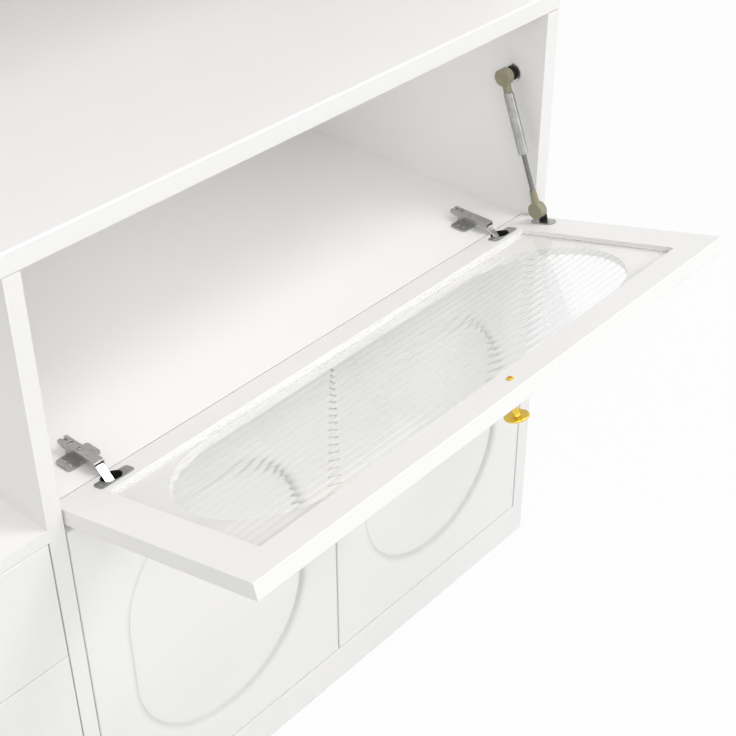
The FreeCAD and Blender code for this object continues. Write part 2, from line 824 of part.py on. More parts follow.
def make_strut():
    upper, lower = strut_points()
    offset = get("strut_offset")
    along_x = FreeCAD.Rotation(Y_AXIS, 90)
    stud = new_body("strut_wall_stud")
    ball_stud(stud, offset, True)
    stud.Placement = FreeCAD.Placement(upper, along_x)
    keep("strut_wall_stud", stud)

    bracket = new_body("strut_bracket")
    ear_x = bay_right - get("strut_offset") + get("socket_half_width") + get("bracket_thick")
    wide, thick = get("bracket_width"), get("bracket_thick")
    low, high = flap_bottom + get("bracket_start"), flap_bottom + get("bracket_end")
    foot = stadium(ear_x + thick - wide, ear_x + thick, low, high, False)
    pad(bracket, "XZ", foot, inner_face, inner_face + thick)
    ball_y, ball_z = inner_face + get("strut_ball_rise"), flap_bottom + get("strut_ball_along")
    ear = get("ball_radius") + thick
    outline = [
        (inner_face, ball_z - ear), (ball_y, ball_z - ear), (ball_y, ball_z + ear, ball_y, ball_z, 1),
        (inner_face, ball_z + ear),
    ]
    pad(bracket, "YZ", outline, ear_x, ear_x + thick)
    bracket.Placement = flap_opened()
    ball = new_body("strut_bracket_ball")
    ball_stud(ball, ear_x - bay_right + get("strut_offset"), False)
    ball.Placement = FreeCAD.Placement(lower, along_x)
    joined = doc.addObject("Part::Fuse", "strut_bracket_whole")
    joined.Base = bracket
    joined.Tool = ball
    joined.Label = "strut_bracket"
    bracket.Label = "strut_bracket_plate"
    keep("strut_bracket", joined)

    run = lower - upper
    lean = math.degrees(math.atan2(run.y, -run.z))
    turn = FreeCAD.Rotation(X_AXIS, lean)
    tube_neck, rod_neck = get("tube_neck_length"), get("rod_neck_length")
    make_socket("strut_tube_socket", FreeCAD.Placement(upper, turn), get("tube_neck_radius"), -tube_neck)
    make_socket("strut_rod_socket", FreeCAD.Placement(lower, turn), get("rod_neck_radius"), rod_neck)
    tube = new_body("strut_tube")
    start, end = -tube_neck, -tube_neck - get("tube_share") * run.Length
    closed_end = start - get("tube_end_wall")
    outer, bore = get("tube_radius"), get("tube_bore_radius")
    wall = outer - bore
    revolve(tube, [
        (0, closed_end), (0, start), (bore, start), (outer, start - wall), (outer, end + wall),
        (outer - wall / 2, end), (bore, end), (bore, closed_end),
    ])
    tube.Placement = FreeCAD.Placement(upper, turn)
    keep("strut_tube", tube)
    rod = new_body("strut_rod")
    radius, rod_end = get("rod_radius"), rod_neck + get("rod_share") * run.Length
    revolve(rod, [(0, rod_neck), (radius, rod_neck), (radius, rod_end), (0, rod_end)])
    rod.Placement = FreeCAD.Placement(lower, turn)
    keep("strut_rod", rod)


def make_socket(label, place, neck_radius, neck_end):
    """A moulded end piece: a round eye over the pivot, and a tapered neck along Z for the tube or rod."""
    body = new_body(label)
    half = get("socket_half_width")
    revolve(body, [(0, 0), (half, 0), (neck_radius, neck_end), (0, neck_end)])
    pad(body, "YZ", disc(0, 0, get("socket_radius")), -half, half)
    bore = get("ball_radius") + get("ball_play")
    pocket(body, "YZ", disc(0, 0, bore), -bore, half)
    body.Placement = place
    return keep(label, body)


# Side-hung doors
def make_door(name, x_low, x_high, z_low, z_high, y_front, hung_left):
    """A door set between its panels, with a sunk stadium panel, its knob and its two hinges."""
    y_inner = y_front + get("front_thick")
    door = new_body(name)
    pad(door, "XZ", rectangle(x_low, x_high, z_low, z_high), y_front, y_inner)
    hinge_edge = x_low if hung_left else x_high
    inward = 1 if hung_left else -1
    frames = []
    for z in (z_low + get("door_hinge_inset"), z_high - get("door_hinge_inset")):
        cup = disc(hinge_edge + get("door_cup_place") * inward, z, get("door_cup_radius"))
        pocket(door, "XZ", cup, y_inner - get("cup_depth"), y_inner)
        frames.append(hinge_frame(hinge_edge, y_inner, z, LEFT_TURN if hung_left else RIGHT_TURN))
    knob_x = (x_high - get("door_knob_inset")) if hung_left else (x_low + get("door_knob_inset"))
    knob_z = (z_low + z_high) / 2 + get("door_knob_rise")
    sink_panel(door, x_low, x_high, z_low, z_high, y_front)
    round_edges(door, get("edge_round"), lambda edge, p: near(p.y, y_front) and (
        near(p.x, x_low) or near(p.x, x_high) or near(p.z, z_low) or near(p.z, z_high)))
    keep(name, door)
    make_knob(name + "_knob", knob_place(knob_x, y_front, knob_z))
    group(name + "_hinge_cups", [make_cup(f"{name}_cup_{n}", "door", f) for n, f in enumerate(frames)])
    group(name + "_hinge_links", [make_link(f"{name}_link_{n}", "door", f) for n, f in enumerate(frames)])
    return [make_door_arm(f"{name}_arm_{n}", -get("side_gap"), f) for n, f in enumerate(frames)]


def sink_panel(door, x_low, x_high, z_low, z_high, y_front):
    """Sinks a stadium panel into the door's face. The face rounds over into a short steep rim: the
    rounding takes up a fixed share of the rim's slant."""
    margin, slope, sink = get("recess_margin"), get("recess_slope"), get("recess_depth")
    sunk = y_front + sink
    slant = square_root(slope * slope + sink * sink)
    rounding = slant * sink / (slant - slope) * get("recess_round_share")
    sketches = []
    for inset, level in ((margin, y_front), (margin + slope, sunk)):
        sketch = sketch_on(door, "XZ", level)
        draw_loop(sketch, stadium(x_low + inset, x_high - inset, z_low + inset, z_high - inset, False))
        sketches.append(sketch)
    loft = door.newObject("PartDesign::SubtractiveLoft", door.Label + "_sunk")
    loft.Profile = sketches[0]
    loft.Sections = [sketches[1]]
    loft.Ruled = True
    inside = margin.value * 0.9
    round_edges(door, rounding, lambda edge, p: near(p.y, y_front)
                and x_low.value + inside < p.x < x_high.value - inside
                and z_low.value + inside < p.z < z_high.value - inside)


def make_doors():
    gap, side = get("front_gap"), get("side_gap")
    arms = []
    for name, z_low, z_high, y_front in (
        ("lower", fronts_low, fronts_high, front),
        ("upper", hutch_floor_top + gap, hutch_roof - gap, hutch_front),
    ):
        for hand, x_low, x_high, hung_left in (
            ("left", bay_left + side, bay_middle - gap / 2, True),
            ("right", bay_middle + gap / 2, bay_right - side, False),
        ):
            arms += make_door(f"{name}_{hand}_door", x_low, x_high, z_low, z_high, y_front, hung_left)
    group("door_hinge_arms", arms)


# Drawers
def make_drawers():
    gap = get("drawer_gap")
    count = int(get("drawer_count").value)
    height = (floor_under - fronts_low - gap * count) / get("drawer_count")
    rails = []
    for number in range(count):
        low = fronts_low + (height + gap) * number
        name = f"drawer_{count - number}"
        board = new_body(name + "_front")
        left, right = column_left + gap, column_right - gap
        pad(board, "XZ", rectangle(left, right, low, low + height), front, inner_face)
        round_edges(board, get("edge_round"), lambda edge, p: near(p.y, front))
        keep(name + "_front", board)
        make_knob(name + "_knob", knob_place(column_middle, front, low + height / 2))
        make_drawer_box(name + "_box", low + get("drawer_box_lift"))
        rails += make_rails(name, low + get("drawer_box_lift") + get("rail_lift"))
    group("drawer_rails", rails)


def make_drawer_box(label, low):
    """An open box behind the drawer's front, with a groove along each side for its rails."""
    body = new_body(label)
    left, right = column_left + get("drawer_side_space"), column_right - get("drawer_side_space")
    box_back = inner_face + get("drawer_box_depth")
    wall = get("drawer_wall")
    high = low + get("drawer_box_height")
    pad(body, "XY", rectangle(left, right, inner_face, box_back), low, high)
    pocket(body, "XY", rectangle(left + wall, right - wall, inner_face + wall, box_back - wall),
           low + get("drawer_floor"), high)
    groove_low = low + get("rail_lift") - get("rail_play")
    groove_high = low + get("rail_lift") + get("rail_height")
    grip = get("rail_grip")
    for start, end in ((left, left + grip), (right - grip, right)):
        pocket(body, "XZ", rectangle(start, end, groove_low, groove_high), inner_face + wall, box_back)
    return keep(label, body)


def make_rails(name, low):
    """The two fixed rails of one drawer, which reach into the grooves of its box."""
    reach = get("drawer_side_space") + get("rail_grip") - get("rail_play")
    start = inner_face + get("drawer_wall") + get("front_clear")
    rails = []
    for hand, x_low, x_high in (
        ("left", column_left, column_left + reach),
        ("right", column_right - reach, column_right),
    ):
        rail = new_body(f"{name}_{hand}_rail")
        pad(rail, "XY", rectangle(x_low, x_high, start, back), low, low + get("rail_height"))
        rails.append(rail)
    return rails


make_base()
make_hutch()
make_flap()
make_strut()
make_doors()
make_drawers()
doc.recompute()

for item in doc.Objects:
    if "Invalid" in item.State or "Error" in item.State:
        raise RuntimeError(f"{item.Label} failed: {item.State}")
for label, piece in nodes.items():
    if piece.Shape.isNull() or not piece.Shape.isValid():
        raise RuntimeError(f"{label} has no valid shape")

os.makedirs("parts", exist_ok=True)
for label, piece in nodes.items():
    piece.Shape.exportStep(f"parts/{label}.step")
    box = piece.Shape.BoundBox
    print(label, len(piece.Shape.Solids), "solids, volume", round(piece.Shape.Volume),
          [round(v, 1) for v in (box.XMin, box.XMax, box.YMin, box.YMax, box.ZMin, box.ZMax)])

arm_pin = flap_arm_pin()
cup_pin = link_opened().multVec(flap_cup_pin())
upper_ball, lower_ball = strut_points()
for label, point in (("flap arm pin", arm_pin), ("flap cup pin", cup_pin),
                     ("upper ball", upper_ball), ("lower ball", lower_ball)):
    print(label, [round(v, 3) for v in point])
print(len(nodes), "nodes")
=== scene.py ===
# %% [markdown]
# A tall kitchen cabinet, dressed for a picture
# The solids of this cabinet come from a CAD model: every board, hinge and drawer is already there, at
# its real size and in its real place. What is left to do in Blender is what CAD leaves out: the lacquer,
# the brass, the glass that bends what lies behind it, the small screws, and the light of a studio.
# Everything is in metres. The origin is on the floor, at the wall, in the middle of the cabinet's width.

# %% Load the solids
import json
import math

import bmesh
import bpy
from mathutils import Matrix, Vector


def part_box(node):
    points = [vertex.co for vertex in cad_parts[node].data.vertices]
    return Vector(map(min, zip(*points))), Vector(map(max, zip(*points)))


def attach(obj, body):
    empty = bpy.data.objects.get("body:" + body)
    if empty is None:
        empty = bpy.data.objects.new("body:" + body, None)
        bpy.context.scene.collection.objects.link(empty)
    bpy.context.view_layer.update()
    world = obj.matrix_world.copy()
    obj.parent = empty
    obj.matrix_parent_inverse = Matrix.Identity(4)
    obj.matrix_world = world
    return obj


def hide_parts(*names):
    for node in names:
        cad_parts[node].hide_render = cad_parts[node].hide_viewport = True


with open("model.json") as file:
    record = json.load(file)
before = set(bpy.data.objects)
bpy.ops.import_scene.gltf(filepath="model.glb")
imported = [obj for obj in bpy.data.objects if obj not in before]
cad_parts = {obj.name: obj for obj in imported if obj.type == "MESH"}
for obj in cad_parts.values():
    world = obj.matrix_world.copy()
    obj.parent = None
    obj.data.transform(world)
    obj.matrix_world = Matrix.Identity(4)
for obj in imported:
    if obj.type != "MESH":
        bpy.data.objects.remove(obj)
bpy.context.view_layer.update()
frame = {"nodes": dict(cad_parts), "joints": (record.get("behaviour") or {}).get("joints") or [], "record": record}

nodes = frame["nodes"]

# %% [markdown]
# A material is a small network of nodes. All of ours start in the same way, from a fresh material with
# its Principled shader, and use the same three ingredients: a noise, a range that turns the noise into
# numbers of the right size, and a bump. So these come first, as helpers. The noise reads object
# coordinates. The solids all sit at the origin, so one metre of noise is one metre of cabinet
# on every board, and the grain doesn't change its size from piece to piece.

# %% Helpers for materials
MM = 0.001
TONE_RANGE = (0.3, 0.7)


def new_finish(name):
    material = bpy.data.materials.new(name)
    material.use_nodes = True
    return material, material.node_tree, material.node_tree.nodes["Principled BSDF"]


def add_noise(tree, scale, detail=3.0, stretch=(1, 1, 1)):
    """Noise in object space; stretch makes it longer along an axis where the number is smaller."""
    place = tree.nodes.new("ShaderNodeTexCoord")
    mapping = tree.nodes.new("ShaderNodeMapping")
    mapping.inputs["Scale"].default_value = stretch
    noise = tree.nodes.new("ShaderNodeTexNoise")
    noise.inputs["Scale"].default_value = scale
    noise.inputs["Detail"].default_value = detail
    tree.links.new(place.outputs["Object"], mapping.inputs["Vector"])
    tree.links.new(mapping.outputs["Vector"], noise.inputs["Vector"])
    return noise


def add_tones(tree, pattern, shader, low, high):
    """Base colour that goes from one tone to another, as a noise or another pattern tells it."""
    ramp = tree.nodes.new("ShaderNodeValToRGB")
    ramp.color_ramp.elements[0].position, ramp.color_ramp.elements[1].position = TONE_RANGE
    ramp.color_ramp.elements[0].color = (*low, 1)
    ramp.color_ramp.elements[1].color = (*high, 1)
    tree.links.new(pattern.outputs[0], ramp.inputs["Fac"])
    tree.links.new(ramp.outputs["Color"], shader.inputs["Base Color"])


def add_roughness(tree, noise, shader, low, high):
    spread = tree.nodes.new("ShaderNodeMapRange")
    spread.inputs["From Min"].default_value, spread.inputs["From Max"].default_value = TONE_RANGE
    spread.inputs["To Min"].default_value = low
    spread.inputs["To Max"].default_value = high
    tree.links.new(noise.outputs["Fac"], spread.inputs["Value"])
    tree.links.new(spread.outputs["Result"], shader.inputs["Roughness"])


def add_bump(tree, noise, shader, strength, height):
    bump = tree.nodes.new("ShaderNodeBump")
    bump.inputs["Strength"].default_value = strength
    bump.inputs["Distance"].default_value = height
    tree.links.new(noise.outputs["Fac"], bump.inputs["Height"])
    tree.links.new(bump.outputs["Normal"], shader.inputs["Normal"])


print("helpers ready: noise, tones, roughness, bump")

# %% [markdown]
# The boards are medium-density fibreboard with a sprayed satin lacquer. Such a coat is never a flat
# white: it is a little warm, its tone drifts by a hair over a metre, and close up it has the fine ripple
# of dried spray, which painters call orange peel. One noise at furniture scale gives the drift, one at
# the scale of a fingertip changes the sheen, and a very fine one lifts the ripple.

# %% White lacquer
def make_lacquer(name, low, high, sheen):
    material, tree, shader = new_finish(name)
    add_tones(tree, add_noise(tree, 3.0), shader, low, high)
    add_roughness(tree, add_noise(tree, 35.0), shader, sheen - 0.05, sheen + 0.05)
    add_bump(tree, add_noise(tree, 700.0, detail=2.0), shader, 0.05, 0.1 * MM)
    return material


lacquer = make_lacquer("white_lacquer", (0.895, 0.882, 0.868), (0.915, 0.903, 0.89), 0.40)
hardboard = make_lacquer("white_faced_hardboard", (0.89, 0.875, 0.86), (0.91, 0.896, 0.882), 0.55)
print("lacquers:", lacquer.name, hardboard.name)

# %% [markdown]
# The metals differ in colour and in how they were finished, but a metal's character lies in its
# reflections. Plating over a stamped or turned part leaves fine lines in one direction, so the noise
# is stretched, and it drives the roughness more than the colour. In a white room a metal shows little
# but white, so its own colour has to hold the grey: the knobs are brushed brass, the hinges satin nickel,
# their links bright nickel, and the strut's tube is polished.

# %% Metals
def make_metal(name, low, high, rough_low, rough_high, stretch=(1, 1, 12)):
    material, tree, shader = new_finish(name)
    shader.inputs["Metallic"].default_value = 1.0
    add_tones(tree, add_noise(tree, 90.0), shader, low, high)
    add_roughness(tree, add_noise(tree, 160.0, detail=6.0, stretch=stretch), shader, rough_low, rough_high)
    add_bump(tree, add_noise(tree, 900.0, stretch=stretch), shader, 0.06, 0.05 * MM)
    return material


brass = make_metal("brushed_brass", (0.84, 0.58, 0.08), (0.92, 0.66, 0.12), 0.16, 0.26)
nickel = make_metal("satin_nickel", (0.38, 0.38, 0.375), (0.48, 0.48, 0.47), 0.26, 0.38)
bright = make_metal("bright_nickel", (0.74, 0.74, 0.73), (0.84, 0.84, 0.83), 0.12, 0.22)
chrome = make_metal("polished_tube", (0.38, 0.38, 0.38), (0.50, 0.50, 0.50), 0.10, 0.18)
print("metals:", [m.name for m in (brass, nickel, bright, chrome)])

# %% [markdown]
# The strut's two sockets are moulded nylon in a dull khaki, and the insides of the hinge cups are black
# nylon. Moulded plastic shows a faint leathery grain from the mould, and is a little shinier where
# it was polished by handling. The drawer boxes are birch: a pale wood whose grain runs along the board,
# so its noise is stretched along one direction.

# %% Plastic and birch
def make_plastic(name, low, high):
    material, tree, shader = new_finish(name)
    add_tones(tree, add_noise(tree, 60.0), shader, low, high)
    add_roughness(tree, add_noise(tree, 220.0), shader, 0.38, 0.5)
    add_bump(tree, add_noise(tree, 1400.0, detail=1.0), shader, 0.12, 0.1 * MM)
    return material


def make_birch(name, low, high):
    material, tree, shader = new_finish(name)
    add_tones(tree, add_noise(tree, 60.0, detail=6.0, stretch=(1.0, 0.08, 1.0)), shader, low, high)
    add_roughness(tree, add_noise(tree, 80.0), shader, 0.42, 0.55)
    add_bump(tree, add_noise(tree, 500.0, detail=4.0, stretch=(1.0, 0.1, 1.0)), shader, 0.1, 0.2 * MM)
    return material


khaki = make_plastic("khaki_nylon", (0.28, 0.255, 0.17), (0.335, 0.31, 0.21))
black = make_plastic("black_nylon", (0.010, 0.010, 0.010), (0.020, 0.020, 0.020))
birch = make_birch("lacquered_birch", (0.70, 0.58, 0.43), (0.80, 0.70, 0.55))
print("plastics and wood:", khaki.name, black.name, birch.name)

# %% [markdown]
# The pane in the flap is clear glass that was rolled while hot over a grooved cylinder. Its look comes
# from refraction, not from paint: full transmission and the refractive index of window glass, with the
# flutes as real geometry. Light on its way from a lamp would count the pane as solid and leave the seat
# under it in the dark, so for such shadow rays the shader gives way to a nearly clear film.

# %% Fluted glass
GLASS_INDEX = 1.5
FILM_COLOUR = (0.95, 0.955, 0.95, 1)

glass, glass_tree, glass_shader = new_finish("fluted_glass")
glass_shader.inputs["Transmission Weight"].default_value = 1.0
glass_shader.inputs["IOR"].default_value = GLASS_INDEX
add_tones(glass_tree, add_noise(glass_tree, 8.0), glass_shader, (0.985, 0.99, 0.987), (0.995, 0.997, 0.996))
add_roughness(glass_tree, add_noise(glass_tree, 120.0), glass_shader, 0.0, 0.02)
film = glass_tree.nodes.new("ShaderNodeBsdfTransparent")
film.inputs["Color"].default_value = FILM_COLOUR
ray = glass_tree.nodes.new("ShaderNodeLightPath")
either = glass_tree.nodes.new("ShaderNodeMixShader")
glass_tree.links.new(ray.outputs["Is Shadow Ray"], either.inputs["Fac"])
glass_tree.links.new(glass_shader.outputs[0], either.inputs[1])
glass_tree.links.new(film.outputs[0], either.inputs[2])
glass_tree.links.new(either.outputs[0], glass_tree.nodes["Material Output"].inputs["Surface"])
print("glass:", glass.name)

# %% [markdown]
# The record that comes with the solids says which finish slot each node belongs to. A table from slot
# to material dresses all of them in one loop, and a node that was forgotten would show up in the count.
# CAD solids have perfectly sharp edges, which no lacquered board has: a real arris is eased with
# sandpaper, and that tiny curve catches the light as a thin bright line. A Bevel modifier does that
# without changing the solid underneath.

# %% Dress the solids
finish_of_slot = {
    "white_paint": lacquer,
    "back_board": hardboard,
    "drawer_birch": birch,
    "brass": brass,
    "bright_steel": bright,
    "plated_steel": nickel,
    "chrome": chrome,
    "khaki_plastic": khaki,
    "fluted_glass": glass,
}
ARRIS = 0.9 * MM
METAL_ARRIS = 0.35 * MM
ARRIS_STEPS, ARRIS_ANGLE = 2, math.radians(60)
slot_of_node = {entry["node"]: entry["material_slot"] for entry in frame["record"]["subparts"]}
for name, slot in slot_of_node.items():
    solid = nodes[name]
    solid.data.materials.clear()
    solid.data.materials.append(finish_of_slot[slot])
    if slot == "fluted_glass":
        continue
    ease = solid.modifiers.new("eased_arris", "BEVEL")
    ease.width = ARRIS if slot in ("white_paint", "back_board", "drawer_birch") else METAL_ARRIS
    ease.segments = ARRIS_STEPS
    ease.limit_method = "ANGLE"
    ease.angle_limit = ARRIS_ANGLE
    ease.harden_normals = True
print("dressed", len(slot_of_node), "nodes")

# %% [markdown]
# The flap hangs open at an angle, so everything on it is easier to place in the flap's own directions:
# across (the cabinet's X), along from the hinge edge, and up from its inner face. The hinge joint of the
# flap goes through the pin in the hinge cup, and the cup's place in the flap is known, so the joint
# gives the corner from which these directions start.

# %% The flap's own directions
FLAP_OPEN = math.radians(74.9)
CUP_PIN_ALONG = 13 * MM
CUP_PIN_DEEP = 9 * MM
FLAP_LENGTH = 309 * MM
FRONT_THICK = 20 * MM

along_way = Vector((0, -math.sin(FLAP_OPEN), math.cos(FLAP_OPEN)))
above_way = Vector((0, math.cos(FLAP_OPEN), math.sin(FLAP_OPEN)))
pin_of_joint = {j["name"]: Vector(j["pos_m"]) for j in frame["joints"] if "pos_m" in j}
flap_corner = pin_of_joint["flap_swing"] - along_way * CUP_PIN_ALONG + above_way * CUP_PIN_DEEP


def on_flap(x, along, above):
    return Vector((x, flap_corner.y, flap_corner.z)) + along_way * along + above_way * above


print("flap's hinge corner:", [round(v, 4) for v in flap_corner])

# %% [markdown]
# The pane: the CAD solid has the flutes, but as a CAD mesh they have few facets, and glass shows every
# facet twice, once in its reflection and once in what it bends. So the pane is built again with the same
# pitch and many more steps. Its cross-section is a closed line, flat below and a row of waves above,
# swept across the flap. Each wave is two parabolas that meet at the same slope, a wide one over the crest
# and a narrow one in the valley, less than a tenth of a millimetre high: enough to break a line behind
# the pane into a column of small hooks. Thin lines run between the flutes in the picture, so each valley
# also has a fine crease in its middle, which bends light much more.

# %% Fluted pane
PANE_LOW, PANE_HIGH = 39 * MM, 270 * MM
PANE_SEAT, PANE_THICK = -10 * MM, 5 * MM
FLUTES, FLUTE_RISE, FLUTE_STEPS = 20, 0.08 * MM, 60
VALLEY_SHARE = 0.4
CREASE_HALF, CREASE_DEPTH = 0.9 * MM, 0.11 * MM


def flute_drop(away, half):
    """How far the glass lies below its crest, away from the crest's middle; half is half a pitch."""
    valley = half * VALLEY_SHARE
    crest = half - valley
    steepest = 2 * FLUTE_RISE / half
    if away < crest:
        return steepest * away ** 2 / (2 * crest)
    crease = max(0, 1 - (half - away) / CREASE_HALF)
    return FLUTE_RISE - steepest * (half - away) ** 2 / (2 * valley) + CREASE_DEPTH * crease ** 2


def pane_section():
    half = (PANE_HIGH - PANE_LOW) / FLUTES / 2
    section = [(PANE_LOW, PANE_SEAT)]
    for step in range(FLUTES * FLUTE_STEPS + 1):
        across = 2 * half * step / FLUTE_STEPS
        away = abs(across % (2 * half) - half)
        section.append((PANE_LOW + across, PANE_SEAT + PANE_THICK - flute_drop(away, half)))
    return section + [(PANE_HIGH, PANE_SEAT)]


def mesh_piece(name, vertices, faces, material, sharp_angle=40):
    mesh = bpy.data.meshes.new(name)
    mesh.from_pydata([tuple(v) for v in vertices], [], faces)
    mesh.update()
    work = bmesh.new()
    work.from_mesh(mesh)
    return smooth_piece(name, work, mesh, material, sharp_angle)


def smooth_piece(name, work, mesh, material, sharp_angle):
    """Turns the normals outward, shades smooth between sharp edges and puts the piece in the scene."""
    bmesh.ops.recalc_face_normals(work, faces=work.faces)
    work.to_mesh(mesh)
    work.free()
    mesh.polygons.foreach_set("use_smooth", [True] * len(mesh.polygons))
    mesh.set_sharp_from_angle(angle=math.radians(sharp_angle))
    mesh.materials.append(material)
    piece = bpy.data.objects.new(name, mesh)
    bpy.context.scene.collection.objects.link(piece)
    return piece


def sweep_across(name, section, x_low, x_high, material, spot=on_flap):
    """A closed section, in the flap's directions unless spot says otherwise, swept along X."""
    count = len(section)
    vertices = [spot(x, *point) for x in (x_low, x_high) for point in section]
    faces = [(i, (i + 1) % count, count + (i + 1) % count, count + i) for i in range(count)]
    faces += [tuple(range(count)), tuple(range(count, 2 * count))]
    return mesh_piece(name, vertices, faces, material, sharp_angle=25)


pane_low, pane_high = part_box("flap_glass")
pane = sweep_across("fluted_pane", pane_section(), pane_low.x, pane_high.x, glass)
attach(pane, "flap")
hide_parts("flap_glass")
print("pane:", len(pane.data.polygons), "faces over", FLUTES, "flutes")

# %% [markdown]
# The knobs are turned brass: a thin round disc on a slim stem that flares at both ends. Anything turned is
# a profile spun about an axis, so a lathe helper makes the mesh: rings of points, joined to their
# neighbours, closed at the axis. The profile follows the CAD knob. Its rim is a half circle and its
# stem a hollow curve, both worked out by a formula, as a polishing wheel would leave them.

# %% Knobs
LATHE_STEPS = 64
KNOB_RADIUS, KNOB_HEIGHT, KNOB_DISC = 14.2 * MM, 27 * MM, 3.6 * MM
KNOB_FOOT, KNOB_STEM = 5.0 * MM, 3.4 * MM
STEM_STEPS, EDGE_STEPS, STEM_POWER = 12, 8, 4


def knob_profile():
    under = KNOB_HEIGHT - KNOB_DISC
    rim = KNOB_DISC / 2
    stem = []
    for step in range(STEM_STEPS + 1):
        along = step / STEM_STEPS
        waist = (2 * along - 1) ** STEM_POWER
        stem.append((KNOB_STEM + (KNOB_FOOT - KNOB_STEM) * waist, under * along))
    edge = []
    for step in range(EDGE_STEPS + 1):
        angle = math.pi * (step / EDGE_STEPS - 0.5)
        edge.append((KNOB_RADIUS - rim + rim * math.cos(angle), under + rim + rim * math.sin(angle)))
    return [(0, 0)] + stem + edge + [(0, KNOB_HEIGHT)]


def spin(name, profile, centre, axis, material, steps=LATHE_STEPS, sharp_angle=35):
    """A profile of (radius, height) points, spun about an axis through a centre."""
    turn = Vector((0, 0, 1)).rotation_difference(axis).to_matrix().to_4x4()
    place = Matrix.Translation(centre) @ turn
    vertices, faces, rings = [], [], []
    for radius, height in profile:
        count = 1 if radius == 0 else steps
        rings.append(range(len(vertices), len(vertices) + count))
        for i in range(count):
            angle = 2 * math.pi * i / steps
            vertices.append(place @ Vector((radius * math.cos(angle), radius * math.sin(angle), height)))
    for low, high in zip(rings, rings[1:]):
        for i in range(steps):
            j = (i + 1) % steps
            corners = [low[i % len(low)], low[j % len(low)], high[j % len(high)], high[i % len(high)]]
            faces.append(tuple(dict.fromkeys(corners)))
    return mesh_piece(name, vertices, faces, material, sharp_angle)


def dress(piece, body, instead_of=None):
    """Lets a new piece move with a body, and hides the solid it stands for."""
    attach(piece, body)
    if instead_of:
        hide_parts(instead_of)
    return piece


bodies = frame["record"]["behaviour"]["bodies"]
body_of_node = {node: body for body, members in bodies.items() for node in members}
KNOB_INSET = 20 * MM
knob_count = 0
for name in [n for n in nodes if n.endswith("_knob")]:
    low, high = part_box(name)
    if name == "flap_knob":
        centre, axis = on_flap((low.x + high.x) / 2, FLAP_LENGTH - KNOB_INSET, -FRONT_THICK), -above_way
    else:
        centre, axis = Vector(((low.x + high.x) / 2, high.y, (low.z + high.z) / 2)), Vector((0, -1, 0))
    knob = spin("turned_" + name, knob_profile(), centre, axis, brass)
    dress(knob, body_of_node[name], name)
    knob_count += 1
print("knobs turned:", knob_count)

# %% [markdown]
# Each door has a sunk panel in the shape of a stadium. The cutter that mills it lets the front face roll
# over into a wall. On the solid that is a plain rounding, which looks too soft where it meets the
# panel, so a thin bead lies over it with a finer profile: a quarter of an ellipse, which leaves the
# face without a crease and stands upright at its foot. The bead is one section carried round the
# stadium, and its underside stays inside the wood. The picture shows these rims darker than the soft
# light here makes them, so the tone of the bead goes down with its depth below the face. That is painted
# shade: it stays the same under any other light, which is the price of doing it this way.

# %% Rims of the sunk panels
RECESS_MARGIN, RECESS_DEPTH = 56.9 * MM, 6 * MM
RIM_OUT, RIM_IN, RIM_UNDER = 7.7 * MM, 5.4 * MM, 0.3 * MM
# The foot tone is painted shade at the foot of each rim's wall, reached at the given depth below the face.
FACE_TONE, FOOT_SHADE_TONE, PAINTED_SHADE_DEPTH = (0.905, 0.892, 0.879), (0.68, 0.67, 0.66), 2.6 * MM
RIM_STEPS, BEND_STEPS = 16, 48
DOORS = ("lower_left", "lower_right", "upper_left", "upper_right")


def stadium_path(low, high):
    """Points round a standing stadium between two corners, each with its outward direction."""
    radius, middle = (high.x - low.x) / 2, (low.x + high.x) / 2
    path = []
    for level, start in ((high.z - radius, 0), (low.z + radius, math.pi)):
        for step in range(BEND_STEPS + 1):
            angle = start + math.pi * step / BEND_STEPS
            outward = Vector((math.cos(angle), 0, math.sin(angle)))
            path.append((Vector((middle, low.y, level)) + outward * radius, outward))
    return path


def rim_section():
    """Pairs of (inward from the stadium, deep below the face)."""
    section = []
    for step in range(RIM_STEPS + 1):
        angle = math.pi / 2 * step / RIM_STEPS
        inward = (RIM_OUT + RIM_IN) * math.sin(angle) - RIM_OUT
        section.append((inward, RECESS_DEPTH * (1 - math.cos(angle))))
    return section + [(RIM_IN, RECESS_DEPTH + RIM_UNDER), (-RIM_OUT, RIM_UNDER)]


def make_rim_painted_shade(name, face):
    """Lacquer with painted shade: its tone goes down with the depth below a face at the given Y."""
    material, tree, shader = new_finish(name)
    place = tree.nodes.new("ShaderNodeTexCoord")
    parts = tree.nodes.new("ShaderNodeSeparateXYZ")
    depth = tree.nodes.new("ShaderNodeMapRange")
    depth.inputs["From Min"].default_value = face
    depth.inputs["From Max"].default_value = face + PAINTED_SHADE_DEPTH
    depth.inputs["To Min"].default_value, depth.inputs["To Max"].default_value = TONE_RANGE
    tree.links.new(place.outputs["Object"], parts.inputs["Vector"])
    tree.links.new(parts.outputs["Y"], depth.inputs["Value"])
    add_tones(tree, depth, shader, FACE_TONE, FOOT_SHADE_TONE)
    add_roughness(tree, add_noise(tree, 35.0), shader, 0.40, 0.50)
    return material


section = rim_section()
rim_painted_shade = {}
for level in ("lower", "upper"):
    rim_painted_shade[level] = make_rim_painted_shade(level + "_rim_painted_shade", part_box(level + "_left_door")[0].y)
inset = Vector((RECESS_MARGIN, 0, RECESS_MARGIN))
for door in DOORS:
    low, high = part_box(door + "_door")
    path = stadium_path(low + inset, high - inset)
    vertices, faces = [], []
    for place, outward in path:
        for inward_by, deep in section:
            vertices.append(place - outward * inward_by + Vector((0, deep, 0)))
    wide, around = len(section), len(path)
    for i in range(around):
        here, there = i * wide, (i + 1) % around * wide
        for k in range(wide):
            after = (k + 1) % wide
            faces.append((here + k, here + after, there + after, there + k))
    bead = mesh_piece("rim_bead_" + door, vertices, faces, rim_painted_shade[door.split("_")[0]])
    dress(bead, door + "_door_leaf")
print("rim beads:", len(DOORS), "with", len(faces), "faces each")

